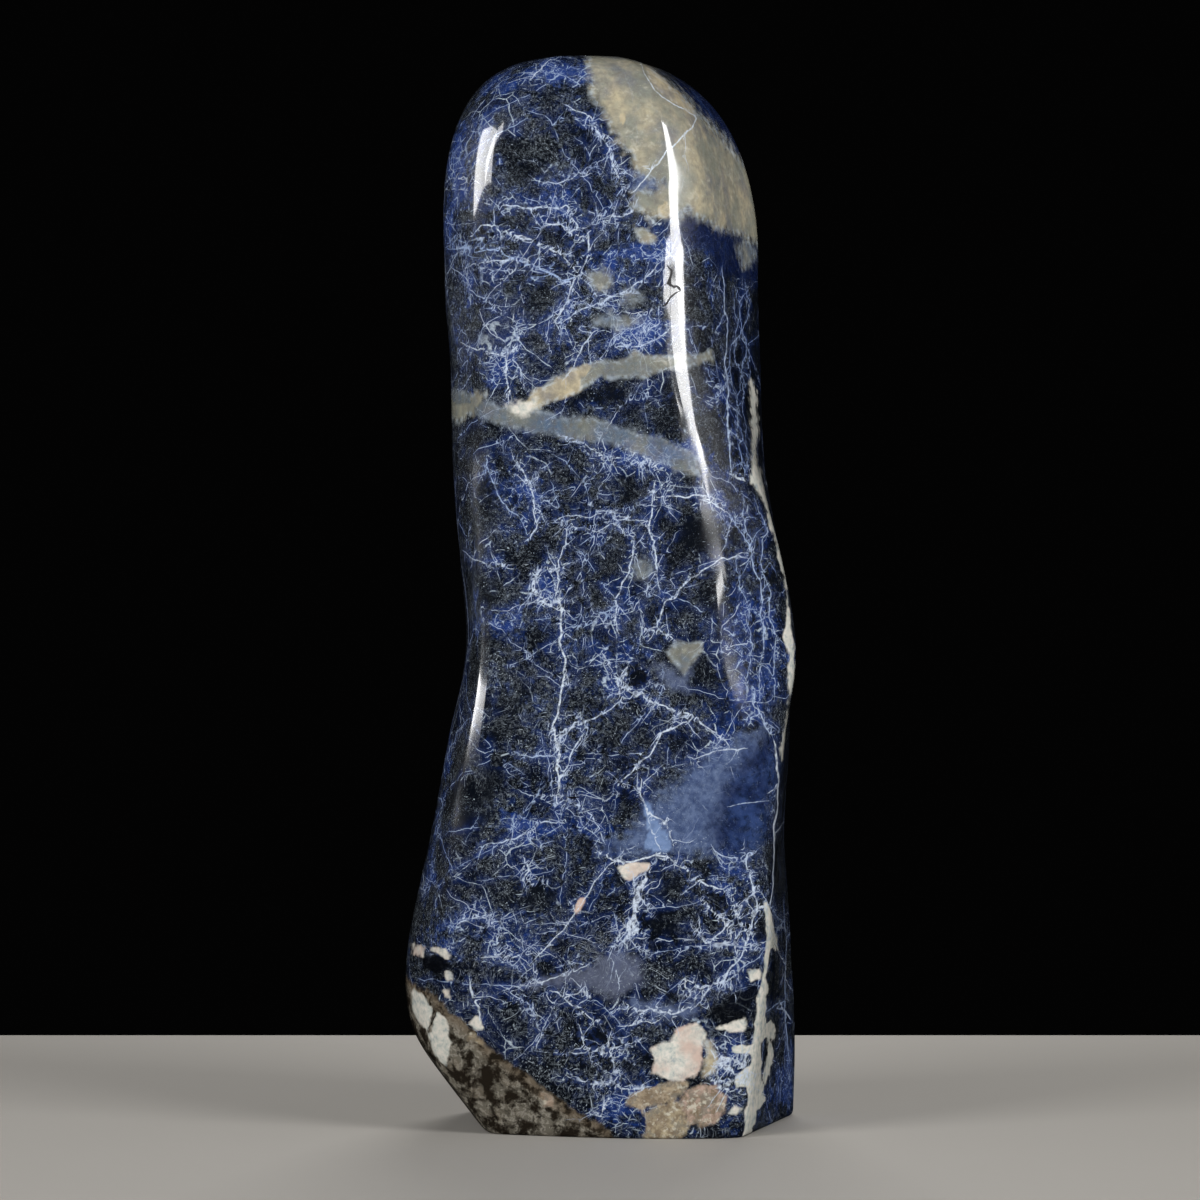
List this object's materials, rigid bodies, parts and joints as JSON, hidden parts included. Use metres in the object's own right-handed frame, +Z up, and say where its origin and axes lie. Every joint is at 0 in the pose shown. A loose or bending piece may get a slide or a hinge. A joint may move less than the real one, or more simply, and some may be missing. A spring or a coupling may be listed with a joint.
{
  "type": "polished sodalite freeform",
  "caption": "Tall polished freeform of blue sodalite with pale veins and patches, ground to soft faces, domed on top, standing on its sawn flat base.",
  "frame": {"origin": "on the plane of the sawn flat base, under the middle of the stone's box", "axes": "+Z up from the sawn base to the domed top; the front, with the broad veined face, looks along -Y; +X to the right seen from the front"},
  "size_m": [0.1322, 0.097, 0.3605],
  "materials": {
    "sodalite": "mirror-polished dark blue stone with royal-blue clouds, pale blue-white hairline veins, cream and grey-green patches and a dark mottled matrix corner"
  },
  "bodies": {
    "root": {"sodalite": "sodalite"}
  },
  "joints": []
}
